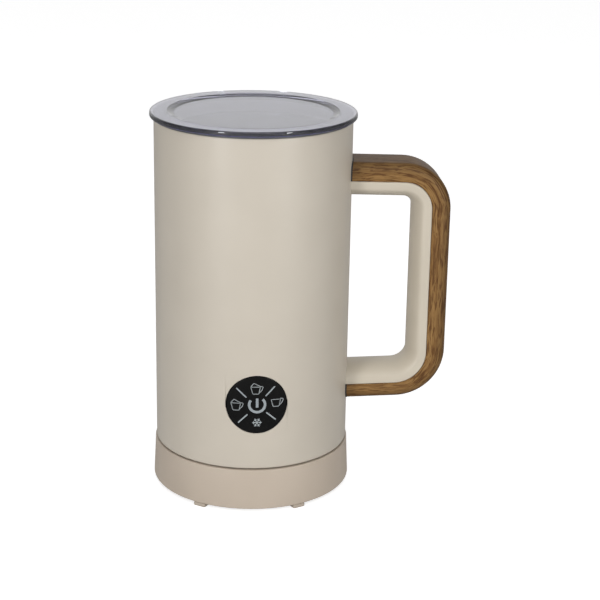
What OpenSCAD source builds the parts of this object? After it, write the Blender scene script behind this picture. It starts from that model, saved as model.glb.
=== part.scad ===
// Automatic milk frother: a jug with a D handle and a clear lid, standing on a round power base.
// Origin: centre of the plane that the feet stand on. +Z is up, the handle points to +X and the
// touch panel faces -Y. Everything is in millimetres.

/* [Jug] */
// Outside diameter of the jug's housing
body_d = 100; // [94:0.5:124]
// Height of the housing's top edge above the table
body_top = 193.4; // [150:0.2:240]
// Wall of the housing
housing_wall = 2.2; // [1.6:0.1:2.8]
// Height of the cup's floor above the table
cup_floor_z = 82; // [80:0.5:100]
// Wall of the steel cup
cup_wall = 1; // [0.8:0.1:1.4]
// Air gap between the cup and the housing
cup_gap = 3; // [2.6:0.1:4]

/* [Base] */
// Height of the base's rim above the table
base_rim_z = 23.2; // [21:0.1:28]
// How far the base stands proud of the housing at the seam
base_proud = 0.6; // [0.2:0.1:2]
// How much wider the base is at the bottom than at the seam, on the radius
base_flare = 1; // [0:0.1:3]
// Wall of the base
base_wall = 2.4; // [1.8:0.1:3]
// Height of the feet below the base's edge
foot_h = 2; // [1.5:0.1:4]
// Number of feet
foot_count = 6; // [3:1:8]
// Open seam between the base's rim and the jug's housing
seam_gap = 0.6; // [0.3:0.1:1.2]

/* [Lid] */
// How far the lid's rim stands out beyond the housing
lid_overhang = 2.1; // [0.5:0.1:4]
// Thickness of the lid's rim
lid_rim_t = 2.55; // [2:0.05:4]
// Depth of the shallow dish in the lid's top
lid_dish_depth = 1.1; // [0.5:0.1:1.4]
// Width of the lid's flat rim, from its edge to the dish
lid_rim_w = 8.8; // [6:0.1:11]
// Depth of the lid's skirt below the rim
lid_skirt_h = 10; // [8:0.5:18]

/* [Handle] */
// Distance from the housing to the line where the grip meets the liner
handle_reach = 40.2; // [30:0.1:60]
// Width of the handle
handle_w = 25.6; // [20:0.2:34]
// Depth of the upper joint line below the housing's top edge
handle_drop = 30.2; // [26:0.2:50]
// Height of the lower joint line above the table
handle_low_z = 54.2; // [50:0.2:70]
// Thickness of the grip on the upright
grip_t = 10; // [9:0.1:14]
// Thickness of the grip on the upper arm
grip_top_t = 9.4; // [8:0.1:14]
// Thickness of the grip on the lower arm
grip_low_t = 8.2; // [8:0.1:14]
// Depth of the liner inside the joint line
liner_t = 9; // [7:0.1:10]
// Radius of the upper corner of the joint line
corner_top_r = 14.5; // [13:0.1:24]
// Radius of the lower corner of the joint line
corner_low_r = 16.5; // [13:0.1:24]

/* [Touch panel] */
// Diameter of the touch panel
panel_d = 30.5; // [24:0.5:36]
// Height of the touch panel's centre above the table
panel_z = 58.5; // [56:0.5:62]

/* [Power coupling] */
// Diameter of the coupling's tower on the base
tower_d = 25.2; // [22:0.1:28]
// Height of the tower above the base's deck
tower_h = 13.3; // [10:0.1:14]

/* [Drive] */
// Diameter of the motor
motor_d = 24.4; // [20:0.1:26]
// Length of the motor's can
motor_h = 25; // [20:0.5:26]
// Diameter of the motor's shaft
shaft_d = 2; // [1.6:0.1:3]
// Diameter of the drive magnets' holder
holder_d = 26; // [22:0.5:28]
// Diameter of the whisk's pivot pin
pivot_d = 3.2; // [2.4:0.1:4]
// Diameter of the whisk's hub
whisk_d = 26.2; // [22:0.2:30]
// Number of turns in the whisk's spring
spring_turns = 56; // [32:4:72]

/* [Mains inlet] */
// Hole through the grommet in the base
inlet_d = 6.2; // [5:0.1:8]

/* [Hidden] */
$fn = 96;

// Clearances
run_gap = 0.05;   // a shaft in its bore, on the radius
rest_gap = 0.3;   // between bodies that come apart
slip_gap = 0.15;  // between pieces of one body that slide together
cut = 1;          // how far a cutter passes a face

// Colours
BEIGE = [0.76, 0.71, 0.64];
BLACK = [0.09, 0.09, 0.09];
WOOD = [0.55, 0.42, 0.26];
STEEL = [0.72, 0.73, 0.75];
BRASS = [0.80, 0.66, 0.36];
BOARD = [0.13, 0.36, 0.22];
MAGNET = [0.45, 0.46, 0.48];
CLEAR = [0.70, 0.71, 0.74, 0.45];
SILICONE = [0.82, 0.82, 0.80, 0.8];
COATING = [0.12, 0.12, 0.13];

// Jug
body_r = body_d / 2;
body_in_r = body_r - housing_wall;
body_bottom = base_rim_z + seam_gap;
cup_r = body_in_r - cup_gap;
cup_in_r = cup_r - cup_wall;
cup_under_z = cup_floor_z - cup_wall;
cup_corner_r = 6;
shelf_h = 2.6;                              // shelf in the housing that carries the cup's rim
shelf_r = cup_r + 0.8;
rim_t = 0.8;                                // turned-out rim of the cup, on the housing's top edge
rim_r = body_r + 0.2;
rim_z = body_top + rim_t;
seal_t = 1.2;
shelf_z = body_top - seal_t;

// Base
base_bottom = foot_h;
base_top_r = body_r + base_proud;
base_low_r = base_top_r + base_flare;
base_edge_r = 0.8;
base_rim_edge_r = 0.5;
deck_drop = 4;                              // the jug nests this deep in the rim
deck_t = 2.4;
deck_z = base_rim_z - deck_drop;
nest_r = body_in_r - 0.1;
plate_t = 2.4;
plate_r = base_low_r - base_wall - 0.2;
boss_r = 3.6;
base_boss_pcd_r = 36;
screw_r = 1.5;
screw_head_r = 2.8;
screw_head_h = 1.6;
foot_w = 6.6;
foot_depth = 5.4;
foot_first = -124;                          // azimuth of the first foot
foot_r = base_low_r - 0.4 - foot_depth / 2;
peg_r = 1.4;
peg_h = 1.8;

// Coupling between the base and the jug
tower_r = tower_d / 2;
tower_top = deck_z + tower_h;
connector_flange_t = 3;
connector_flange_r = tower_r + 8;
connector_screw_pcd_r = tower_r + 4.5;
slot_in_r = 6.2;
slot_out_r = 9;
slot_floor = deck_z - 3;
earth_r = 1.6;
earth_sleeve_in_r = earth_r + 0.3;
earth_sleeve_r = earth_sleeve_in_r + 0.7;
ring_in_r = 6.9;
ring_r = 7.8;
cover_z = deck_z + rest_gap;
cover_t = 2.6;
cover_r = nest_r - 0.4;
socket_r = tower_r + 0.5;
socket_wall = 2.2;
socket_top = tower_top + 1.5;
socket_cap_t = 2.6;
socket_flange_t = 2;
socket_flange_r = socket_r + 8;
cover_boss_pcd_r = body_in_r - 6.8;
cover_post_h = 4;
cover_lip_h = 4;                            // how far the cover's rim reaches into the housing
cover_post_z = cover_z + cover_t + cover_post_h;
socket_screw_pcd_r = socket_flange_r - 3;
socket_screw_l = socket_flange_t + 1.8;

// Drive and heater, stacked down from the cup's floor
heater_t = 3;
heater_z = cup_under_z - heater_t;
holder_r = holder_d / 2;
stud_pcd_r = cup_r - 7.8;
heater_r = stud_pcd_r - 3;
heater_hole_r = holder_r + 3;
element_r = 3.3;
element_pcd_r = heater_hole_r + 1.2 + element_r;
element_z = heater_z - element_r;
cutout_pcd_r = heater_r - 4.6;
stud_r = 2;
holder_h = 4.4;
holder_z = cup_under_z - 1.2 - holder_h;
shaft_r = shaft_d / 2;
shaft_bore_r = shaft_r + 0.02;
motor_r = motor_d / 2;
motor_boss_r = 4;
motor_boss_h = 2;
bracket_t = 1.6;
bracket_z = element_z - element_r - 1 - bracket_t;
motor_top = bracket_z;
motor_z = motor_top - motor_h;
motor_screw_pcd_r = 8.5;
magnet_r = 3.2;
magnet_h = 2.6;
magnet_pcd_r = holder_r - magnet_r - 2.2;

// Whisk
pivot_r = pivot_d / 2;
pivot_h = 9;
whisk_r = whisk_d / 2;
whisk_z = cup_floor_z + 0.8;
whisk_h = 5;
whisk_mid_z = whisk_z + 3;
spring_wire_r = 0.45;
spring_coil_r = 2.2;
spring_r = whisk_r + slip_gap + spring_wire_r + spring_coil_r;

// Lid
lid_r = body_r + lid_overhang;
lid_rim_z = rim_z + rest_gap;
lid_top = lid_rim_z + lid_rim_t;
lid_edge_r = 1.1;
dish_r = lid_r - lid_rim_w;
dish_floor_r = dish_r - 3.4;
lid_plate_t = 2;
skirt_r = cup_in_r - 1.2;
skirt_t = 2.2;
seal_out_r = cup_in_r - rest_gap;
lid_seal_h = 6;
lid_seal_z = lid_rim_z - 8.4;

// Handle
arm_slope = 1.4;                            // the arms close towards the upright by this angle
joint_x = body_r + handle_reach;            // joint line of the upright
joint_top_z = body_top - handle_drop;
grip_edge_r = 4.3;
grip_wall = 3;
strip_w = 3.7;                              // flat side of the liner
liner_chamfer = 0.35;
joint_gap = 0.15;
core_root = 0.1;                            // foot of the liner's core above the joint line
gasket_t = 0.7;
gasket_proud = 1.015;                       // the gasket's outline against the grip's
half_w = handle_w / 2;
handle_screw_r = 1.7;
handle_head_r = 3.2;
handle_head_h = 1.4;
handle_screw_l = 12;
screw_offsets = [3, -4.5];                  // across the joint line, outwards positive

// Touch panel
panel_r = panel_d / 2;
panel_out_r = body_r + 0.15;
pocket_r = body_r - 1.1;
window_r = panel_r - 2.2;
touch_board_w = 24;
touch_board_h = 2 * window_r + 10.4;
touch_board_t = 1.6;
touch_board_y = -sqrt(pow(body_in_r, 2) - pow(touch_board_w / 2, 2)) + 0.3;
touch_screw_z = window_r + 2.6;
touch_spots = [[0, 0], [0, 8.4], [-9.6, 0.4], [9.6, 0.4], [0, -9]];
touch_spring_r = 1.6;

// Control board, a ring round the motor
board_z = socket_top + socket_cap_t + 4;
board_t = 1.6;
board_r = body_in_r - 9;
board_hole_r = motor_r + 3;
board_screw_pcd_r = board_r - 4.5;

// Mains inlet
inlet_r = inlet_d / 2;
grommet_r = inlet_r + 1.6;
grommet_z = (base_bottom + plate_t + deck_z - deck_t) / 2;
grommet_lip_r = grommet_r + 1.2;
grommet_out_y = base_low_r + 0.8;
grommet_in_y = base_low_r - base_wall - 2.2;

// Points along an arc round c, from angle a0 to a1 in n steps
function arc(c, r, a0, a1, n = 6) = [
    for (i = [0:n]) let (a = a0 + (a1 - a0) * i / n) [c[0] + r * cos(a), c[1] + r * sin(a)]
];

// Value between a and b
function mix(a, b, t) = a + (b - a) * t;

// Point on a cubic Bezier curve
function bezier(p, t) = pow(1 - t, 3) * p[0] + 3 * t * pow(1 - t, 2) * p[1]
    + 3 * t * t * (1 - t) * p[2] + pow(t, 3) * p[3];

// A tube between two radii and two heights
module ring(r_in, r_out, z0, z1) {
    rotate_extrude() translate([r_in, z0]) square([r_out - r_in, z1 - z0]);
}

// Copies the children to n places round the axis
module around(n, r, first = 0) {
    for (i = [0:n - 1]) rotate([0, 0, first + i * 360 / n]) translate([r, 0, 0]) children();
}

// A pan-head screw that points up, its head below z = 0
module screw(r, l, head_r, head_h) {
    translate([0, 0, -head_h]) cylinder(r = head_r, h = head_h);
    cylinder(r = r, h = l);
}

// ---------------------------------------------------------------- base

module base_shell() {
    color(BEIGE) difference() {
        union() {
            rotate_extrude() polygon(concat(
                [[base_low_r - base_wall, base_bottom]],
                arc([base_low_r - base_edge_r, base_bottom + base_edge_r], base_edge_r, -90, 0),
                arc([base_top_r - base_rim_edge_r, base_rim_z - base_rim_edge_r], base_rim_edge_r, 0, 90, 4),
                [[nest_r, base_rim_z], [nest_r, deck_z], [tower_r + slip_gap, deck_z],
                 [tower_r + slip_gap, deck_z - deck_t], [base_top_r - base_wall, deck_z - deck_t]]
            ));
            around(4, base_boss_pcd_r, 45)
                translate([0, 0, base_bottom + plate_t])
                    cylinder(r = boss_r, h = deck_z - deck_t - base_bottom - plate_t + 0.2);
        }
        around(4, base_boss_pcd_r, 45)
            translate([0, 0, base_bottom]) cylinder(r = screw_r, h = 11);
        around(2, connector_screw_pcd_r, 0)
            translate([0, 0, deck_z - deck_t - cut]) cylinder(r = screw_r, h = deck_t - 0.6 + cut);
        inlet_bar(grommet_r, grommet_in_y - cut, grommet_out_y + cut);
    }
}

module base_bottom_plate() {
    color(BEIGE) difference() {
        translate([0, 0, base_bottom]) cylinder(r = plate_r, h = plate_t);
        around(4, base_boss_pcd_r, 45) {
            translate([0, 0, base_bottom - cut]) cylinder(r = screw_r + 0.2, h = plate_t + 2 * cut);
            translate([0, 0, base_bottom - cut]) cylinder(r = screw_head_r + 0.3, h = 1.4 + cut);
        }
        around(foot_count, foot_r - 1.4, foot_first)
            translate([0, 0, base_bottom - cut]) cylinder(r = peg_r + 0.05, h = plate_t + 2 * cut);
    }
}

module base_feet() {
    color(BEIGE) around(foot_count, foot_r, foot_first) {
        linear_extrude(height = foot_h) square([foot_depth, foot_w], center = true);
        translate([-1.4, 0, foot_h - 0.2]) cylinder(r = peg_r, h = peg_h + 0.2);
    }
}

module base_screws() {
    color(STEEL) around(4, base_boss_pcd_r, 45)
        translate([0, 0, base_bottom + 1.4]) screw(screw_r - 0.05, 9, screw_head_r, 1.3);
}

// A round bar along Y through the mains inlet
module inlet_bar(r, y0, y1) {
    translate([0, y0, grommet_z]) rotate([-90, 0, 0]) cylinder(r = r, h = y1 - y0);
}

// The grommet's two lips hug the wall, which is cut out of one disc
module cord_grommet() {
    color(BLACK) difference() {
        union() {
            difference() {
                inlet_bar(grommet_lip_r, grommet_in_y, grommet_out_y);
                rotate_extrude() polygon([
                    [base_low_r - base_wall, base_bottom], [base_low_r, base_bottom + base_edge_r],
                    [base_top_r, base_rim_z - base_rim_edge_r], [base_top_r - base_wall, deck_z - deck_t]
                ]);
            }
            inlet_bar(grommet_r - 0.05, grommet_in_y, grommet_out_y);
        }
        inlet_bar(inlet_r, grommet_in_y - cut, grommet_out_y + cut);
    }
}

module base_connector() {
    flange_z0 = deck_z - deck_t - connector_flange_t;
    color(BLACK) difference() {
        union() {
            translate([0, 0, flange_z0]) cylinder(r = tower_r, h = tower_top - flange_z0);
            translate([0, 0, flange_z0]) cylinder(r = connector_flange_r, h = connector_flange_t);
            translate([0, 0, base_bottom + plate_t + 1.5])
                cylinder(r = tower_r + 1.5, h = flange_z0 - base_bottom - plate_t - 1.5 + 0.2);
        }
        ring(slot_in_r, slot_out_r, slot_floor, tower_top + cut);
        translate([0, 0, slot_floor - 4]) cylinder(r = earth_sleeve_r, h = tower_top);
        around(2, connector_screw_pcd_r, 0)
            translate([0, 0, flange_z0 - cut]) cylinder(r = screw_r + 0.2, h = connector_flange_t + 2 * cut);
    }
}

module base_contacts() {
    color(BRASS) {
        ring(earth_sleeve_in_r, earth_sleeve_r - 0.02, slot_floor - 4, tower_top - 1.5);
        ring(slot_out_r - 0.6, slot_out_r - 0.02, slot_floor, tower_top - 2);
    }
}

module connector_screws() {
    color(STEEL) around(2, connector_screw_pcd_r, 0)
        translate([0, 0, deck_z - deck_t - connector_flange_t])
            screw(screw_r - 0.05, connector_flange_t + deck_t - 0.8, screw_head_r - 0.4, screw_head_h);
}

// ---------------------------------------------------------------- jug

// Bars along X at the four screws of the handle
module handle_screw_holes(r, x0, x1) {
    for (s = screw_offsets) {
        translate([x0, 0, top_line_z(body_r) + s]) rotate([0, 90, 0]) cylinder(r = r, h = x1 - x0);
        translate([x0, 0, low_line_z(body_r) - s]) rotate([0, 90, 0]) cylinder(r = r, h = x1 - x0);
    }
}

// A round bar along Y, from y0 out to y1, centred dz above the touch panel's centre
module panel_core(r, y0, y1, dz = 0) {
    translate([0, y0, panel_z + dz]) rotate([90, 0, 0]) cylinder(r = r, h = y0 - y1);
}

module outer_housing() {
    edge = 0.6;
    boss_h = 12;
    rib_z = body_bottom + cover_lip_h + 0.2;
    color(BEIGE) difference() {
        union() {
            rotate_extrude() polygon(concat(
                [[body_in_r, body_bottom]],
                arc([body_r - edge, body_bottom + edge], edge, -90, 0, 4),
                arc([body_r - edge, body_top - edge], edge, 0, 90, 4),
                [[body_in_r, body_top], [body_in_r, shelf_z], [shelf_r, shelf_z],
                 [shelf_r, shelf_z - shelf_h + (body_in_r - shelf_r)], [body_in_r, shelf_z - shelf_h]]
            ));
            around(3, cover_boss_pcd_r, 30) translate([0, 0, cover_post_z]) {
                cylinder(r = boss_r, h = boss_h);
                translate([0, -1, rib_z - cover_post_z])
                    cube([body_in_r - cover_boss_pcd_r + 0.5, 2, boss_h + cover_post_z - rib_z]);
            }
            for (dz = [-touch_screw_z, touch_screw_z]) intersection() {
                panel_core(2.4, touch_board_y, -body_r, dz);
                translate([0, 0, panel_z - panel_d]) cylinder(r = body_in_r + 0.5, h = 2 * panel_d);
            }
        }
        around(3, cover_boss_pcd_r, 30)
            translate([0, 0, cover_post_z - cut]) cylinder(r = screw_r, h = boss_h - 2 + cut);
        for (dz = [-touch_screw_z, touch_screw_z])
            panel_core(1, touch_board_y + cut, -body_in_r - 0.6, dz);
        panel_core(window_r, -body_in_r + 6, -body_r - cut);
        difference() {
            panel_core(panel_r + slip_gap, -body_in_r + 6, -body_r - cut);
            translate([0, 0, panel_z - panel_d]) cylinder(r = pocket_r, h = 2 * panel_d);
        }
        handle_screw_holes(handle_screw_r + slip_gap, body_in_r - 3, body_r + cut);
    }
}

module jug_bottom_cover() {
    color(BEIGE) difference() {
        union() {
            rotate_extrude() polygon([
                [socket_r + slip_gap, cover_z], [cover_r, cover_z], [cover_r, body_bottom + cover_lip_h],
                [cover_r - 2.2, body_bottom + cover_lip_h], [cover_r - 2.2, cover_z + cover_t],
                [socket_r + slip_gap, cover_z + cover_t]
            ]);
            around(3, cover_boss_pcd_r, 30)
                translate([0, 0, cover_z + cover_t - 0.2]) cylinder(r = boss_r - 0.4, h = cover_post_h + 0.2);
            around(3, board_screw_pcd_r, 90)
                translate([0, 0, cover_z + cover_t - 0.2])
                    cylinder(r = boss_r, h = board_z - cover_z - cover_t + 0.2);
        }
        around(3, cover_boss_pcd_r, 30)
            translate([0, 0, cover_z - cut]) cylinder(r = screw_r + 0.2, h = cover_t + cover_post_h + 2 * cut);
        around(3, cover_boss_pcd_r, 30)
            translate([0, 0, cover_z - cut]) cylinder(r = screw_head_r + 0.3, h = screw_head_h + 0.4 + cut);
        around(3, board_screw_pcd_r, 90)
            translate([0, 0, board_z - 8]) cylinder(r = screw_r, h = 8 + cut);
        around(3, socket_screw_pcd_r, 30)
            translate([0, 0, cover_z + 0.6]) cylinder(r = 1.1, h = cover_t);
    }
}

module cover_screws() {
    color(STEEL) around(3, cover_boss_pcd_r, 30)
        translate([0, 0, cover_z + screw_head_h + 0.4]) screw(screw_r - 0.05, 12, screw_head_r, screw_head_h);
}

module jug_connector() {
    z0 = cover_z + cover_t;
    wall_r = socket_r + socket_wall;
    color(BLACK) difference() {
        rotate_extrude() polygon([
            [socket_r, z0], [socket_flange_r, z0], [socket_flange_r, z0 + socket_flange_t],
            [wall_r, z0 + socket_flange_t], [wall_r, socket_top + socket_cap_t],
            [earth_r + 0.02, socket_top + socket_cap_t], [earth_r + 0.02, socket_top], [socket_r, socket_top]
        ]);
        around(3, socket_screw_pcd_r, 30)
            translate([0, 0, z0 - cut]) cylinder(r = 1.3, h = socket_flange_t + 2 * cut);
    }
}

module jug_connector_screws() {
    color(STEEL) around(3, socket_screw_pcd_r, 30)
        translate([0, 0, cover_z + cover_t + socket_flange_t]) rotate([180, 0, 0])
            screw(1.05, socket_screw_l, 2.1, 1.2);
}

module jug_contacts() {
    color(BRASS) {
        translate([0, 0, cover_z + 1.5]) cylinder(r = earth_r, h = socket_top + socket_cap_t - cover_z + 1.5);
        ring(ring_in_r, ring_r, cover_z + 1.5, socket_top);
        for (x = [-8, 8]) translate([x - 0.4, -3, socket_top + socket_cap_t]) cube([0.8, 6, 5]);
    }
}

module inner_cup() {
    lip = 1;
    color(COATING) rotate_extrude() polygon(concat(
        [[0, cup_under_z]],
        arc([cup_r - cup_corner_r, cup_under_z + cup_corner_r], cup_corner_r, -90, 0),
        [[cup_r, body_top], [rim_r, body_top]],
        arc([rim_r - rim_t / 2, body_top + rim_t / 2], rim_t / 2, 0, 90, 4),
        arc([cup_in_r + lip, rim_z - lip], lip, 90, 180, 4),
        arc([cup_r - cup_corner_r, cup_under_z + cup_corner_r], cup_corner_r - cup_wall, 0, -90),
        [[0, cup_floor_z]]
    ));
}

module cup_rim_seal() {
    color(SILICONE) ring(shelf_r, body_in_r - 0.2, shelf_z, body_top);
}

module cup_studs() {
    color(STEEL) around(3, stud_pcd_r, 90)
        translate([0, 0, bracket_z - 3.4]) cylinder(r = stud_r, h = cup_under_z - bracket_z + 3.4);
}

module stud_nuts() {
    nut_h = 2.6;
    color(STEEL) around(3, stud_pcd_r, 90) translate([0, 0, bracket_z - nut_h]) difference() {
        cylinder(r = 3.8, h = nut_h, $fn = 6);
        translate([0, 0, -cut]) cylinder(r = stud_r + 0.02, h = nut_h + 2 * cut);
    }
}

module whisk_pivot_pin() {
    color(STEEL) rotate_extrude() polygon([
        [0, cup_floor_z], [pivot_r + 1.4, cup_floor_z], [pivot_r + 1.4, cup_floor_z + 0.4],
        [pivot_r, cup_floor_z + 0.5], [pivot_r, cup_floor_z + pivot_h - 0.8],
        [pivot_r - 0.8, cup_floor_z + pivot_h], [0, cup_floor_z + pivot_h]
    ]);
}

module heater_plate() {
    color(STEEL) ring(heater_hole_r, heater_r, heater_z, cup_under_z);
}

module heater_element() {
    gap = 40;
    color(STEEL) {
        rotate([0, 0, 150 + gap / 2]) rotate_extrude(angle = 360 - gap)
            translate([element_pcd_r, element_z]) circle(r = element_r);
        for (a = [150 - gap / 2, 150 + gap / 2]) rotate([0, 0, a])
            translate([element_pcd_r, 0, element_z - element_r - 4]) cylinder(r = 1.2, h = element_r + 4);
    }
}

module thermostat() {
    color(STEEL) rotate([0, 0, 30]) translate([cutout_pcd_r, 0, heater_z - 6]) {
        cylinder(r = 4.4, h = 6);
        for (y = [-2, 2]) translate([-1.5, y - 0.3, -4]) cube([3, 0.6, 4.2]);
    }
}

module temperature_sensor() {
    color(BRASS) rotate([0, 0, 270]) translate([cutout_pcd_r, 0, heater_z - 8]) {
        cylinder(r = 2.5, h = 8);
        cylinder(r = 3.4, h = 1.5);
    }
}

module thermal_fuse() {
    color(STEEL) rotate([0, 0, 180]) translate([cutout_pcd_r, 0, heater_z - 2.2]) {
        rotate([90, 0, 0]) cylinder(r = 2.2, h = 10, center = true);
        rotate([90, 0, 0]) cylinder(r = 0.5, h = 16, center = true);
    }
}

module motor_bracket() {
    color(STEEL) translate([0, 0, bracket_z]) linear_extrude(height = bracket_t) difference() {
        union() {
            circle(r = motor_r + 3);
            around(3, 0, 90) translate([0, -4]) square([stud_pcd_r, 8]);
            around(3, stud_pcd_r, 90) circle(r = 5);
        }
        circle(r = motor_boss_r + 0.1);
        around(3, stud_pcd_r, 90) circle(r = stud_r + 0.1);
        around(2, motor_screw_pcd_r, 0) circle(r = 1.3);
    }
}

module motor_can() {
    color(STEEL) difference() {
        union() {
            translate([0, 0, motor_z]) cylinder(r = motor_r, h = motor_h);
            translate([0, 0, motor_top - 0.2]) cylinder(r = motor_boss_r, h = motor_boss_h + 0.2);
        }
        translate([0, 0, motor_z + 3.5]) cylinder(r = shaft_r + run_gap, h = motor_h + motor_boss_h);
        around(2, motor_screw_pcd_r, 0) translate([0, 0, motor_top - 4]) cylinder(r = 1, h = 4 + cut);
    }
}

module motor_screws() {
    color(STEEL) around(2, motor_screw_pcd_r, 0)
        translate([0, 0, bracket_z + bracket_t]) rotate([180, 0, 0]) screw(0.95, bracket_t + 3.5, 1.9, 1.2);
}

module control_board() {
    color(BOARD) difference() {
        ring(board_hole_r, board_r, board_z, board_z + board_t);
        around(3, board_screw_pcd_r, 90)
            translate([0, 0, board_z - cut]) cylinder(r = screw_r + 0.2, h = board_t + 2 * cut);
    }
}

module board_parts() {
    r = (board_hole_r + board_r) / 2;
    color(BLACK) translate([0, 0, board_z + board_t]) {
        rotate([0, 0, 30]) translate([r - 6, -8, 0]) cube([12, 16, 10]);
        rotate([0, 0, 150]) translate([r - 7, -7, 0]) cube([13, 14, 11]);
        rotate([0, 0, 180]) translate([r, 0, 0]) cylinder(r = 4, h = 10);
        rotate([0, 0, 240]) translate([r - 4, -5, 0]) cube([8, 10, 5]);
        rotate([0, 0, 290]) translate([r - 3, -8, 0]) cube([6, 16, 6]);
        rotate([0, 0, 0]) translate([r, 0, 0]) cylinder(r = 3.2, h = 8);
    }
}

module board_screws() {
    color(STEEL) around(3, board_screw_pcd_r, 90)
        translate([0, 0, board_z + board_t]) rotate([180, 0, 0])
            screw(screw_r - 0.05, board_t + 6, screw_head_r, screw_head_h);
}

module touch_board() {
    color(BOARD) difference() {
        translate([-touch_board_w / 2, touch_board_y, panel_z - touch_board_h / 2])
            cube([touch_board_w, touch_board_t, touch_board_h]);
        for (dz = [-touch_screw_z, touch_screw_z])
            panel_core(1.2, touch_board_y + touch_board_t + cut, touch_board_y - cut, dz);
    }
}

module touch_springs() {
    color(STEEL) for (spot = touch_spots) intersection() {
        translate([spot[0], touch_board_y, panel_z + spot[1]]) rotate([90, 0, 0])
            cylinder(r = touch_spring_r, h = body_r);
        translate([0, 0, panel_z - panel_d]) cylinder(r = pocket_r, h = 2 * panel_d);
    }
}

module touch_board_screws() {
    color(STEEL) for (dz = [-touch_screw_z, touch_screw_z])
        translate([0, touch_board_y + touch_board_t, panel_z + dz]) rotate([90, 0, 0])
            screw(0.95, touch_board_t + 1.8, 1.9, 1);
}

module touch_panel() {
    color(BLACK) difference() {
        intersection() {
            panel_core(panel_r, -pocket_r + panel_r, -body_r - cut);
            translate([0, 0, panel_z - panel_d]) cylinder(r = panel_out_r, h = 2 * panel_d);
        }
        translate([0, 0, panel_z - panel_d]) cylinder(r = pocket_r, h = 2 * panel_d);
    }
}

// ---------------------------------------------------------------- handle

// Height of the upper and lower joint lines at a distance x from the axis
function top_line_z(x) = joint_top_z - (x - body_r) * tan(arm_slope);
function low_line_z(x) = handle_low_z + (x - body_r) * tan(arm_slope);

// Thickness of the grip where its outward normal stands at angle a
function grip_at(a) = a > 0 ? mix(grip_t, grip_top_t, a / (90 - arm_slope))
                            : mix(grip_t, grip_low_t, -a / (90 - arm_slope));

// The joint line from the upper end to the lower: [x, z, angle of the outward normal]
function joint_line() = let (
    up = 90 - arm_slope,
    x_in = body_r - 6,
    x_top = joint_x - corner_top_r,
    x_low = joint_x - corner_low_r,
    z_top = top_line_z(x_top) - corner_top_r / cos(arm_slope),
    z_low = low_line_z(x_low) + corner_low_r / cos(arm_slope),
    n = 10
) concat(
    [[x_in, top_line_z(x_in), up]],
    [for (i = [0:n]) let (a = up * (1 - i / n))
        [x_top + corner_top_r * cos(a), z_top + corner_top_r * sin(a), a]],
    [for (i = [0:n]) let (a = -up * i / n)
        [x_low + corner_low_r * cos(a), z_low + corner_low_r * sin(a), a]],
    [[x_in, low_line_z(x_in), -up]]
);

// Section of the grip, a channel with rounded edges: [outwards, across]
function grip_section(t) = let (
    edge = function (inset) concat(
        [[joint_gap, -half_w + inset]],
        arc([t - grip_edge_r, -half_w + grip_edge_r], grip_edge_r - inset, -90, 0),
        arc([t - grip_edge_r, half_w - grip_edge_r], grip_edge_r - inset, 0, 90),
        [[joint_gap, half_w - inset]]
    ),
    inside = edge(grip_wall)
) concat(edge(0), [for (i = [len(inside) - 1:-1:0]) inside[i]]);

// Section of the liner: a soft crown inside, a core that fills the grip's channel outside
function liner_section(t) = let (
    core_w = half_w - grip_wall - slip_gap,
    core_t = t - grip_wall - slip_gap,
    corner = 0.8,                           // clears the rounded corners of the grip's channel
    bend = [[-strip_w, half_w], [-strip_w - 1.6, half_w - 0.3], [-liner_t, half_w / 2 - 0.4], [-liner_t, 1]],
    side = concat(
        [[core_t, core_w - corner], [core_t - corner, core_w], [core_root, core_w]],
        [[0, half_w - liner_chamfer], [-liner_chamfer, half_w]],
        [for (i = [0:8]) bezier(bend, i / 8)]
    )
) concat(side, [for (i = [len(side) - 1:-1:0]) [side[i][0], -side[i][1]]]);

// Sweeps one section per station along the joint line. Points j and n - 1 - j of a section face
// each other, so its end caps are a strip of four-sided faces.
module sweep(stations, sections) {
    n = len(sections[0]);
    m = len(stations);
    last = (m - 1) * n;
    points = [for (i = [0:m - 1]) for (q = sections[i]) let (s = stations[i])
        [s[0] + q[0] * cos(s[2]), q[1], s[1] + q[0] * sin(s[2])]];
    walls = [for (i = [0:m - 2]) for (j = [0:n - 1]) let (k = (j + 1) % n)
        each [[i * n + j, (i + 1) * n + j, (i + 1) * n + k], [i * n + j, (i + 1) * n + k, i * n + k]]];
    caps = [for (j = [0:n / 2 - 2])
        each [[j, j + 1, n - 2 - j, n - 1 - j], [last + n - 1 - j, last + n - 2 - j, last + j + 1, last + j]]];
    polyhedron(points = points, faces = concat(walls, caps));
}

module handle_liner() {
    stations = joint_line();
    color(BEIGE) difference() {
        sweep(stations, [for (s = stations) liner_section(grip_at(s[2]))]);
        translate([0, 0, handle_low_z - 40]) cylinder(r = body_r, h = joint_top_z - handle_low_z + 80);
        handle_screw_holes(handle_screw_r + run_gap, body_r - cut, body_in_r + handle_screw_l + 1);
    }
}

module handle_grip() {
    stations = joint_line();
    color(WOOD) difference() {
        sweep(stations, [for (s = stations) grip_section(grip_at(s[2]))]);
        translate([0, 0, handle_low_z - 40])
            cylinder(r = body_r + gasket_t, h = joint_top_z - handle_low_z + 80);
    }
}

// One gasket's outline, extruded through the housing's wall
module gasket_bar(t) {
    translate([body_r - 6, 0, 0]) rotate([90, 0, 90]) linear_extrude(height = 12)
        polygon([for (q = grip_section(t)) [q[1], q[0]] * gasket_proud]);
}

module handle_gaskets() {
    color(BLACK) intersection() {
        ring(body_r, body_r + gasket_t, handle_low_z - 40, joint_top_z + 40);
        union() {
            translate([0, 0, top_line_z(body_r)]) gasket_bar(grip_top_t);
            translate([0, 0, low_line_z(body_r)]) mirror([0, 0, 1]) gasket_bar(grip_low_t);
        }
    }
}

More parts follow.
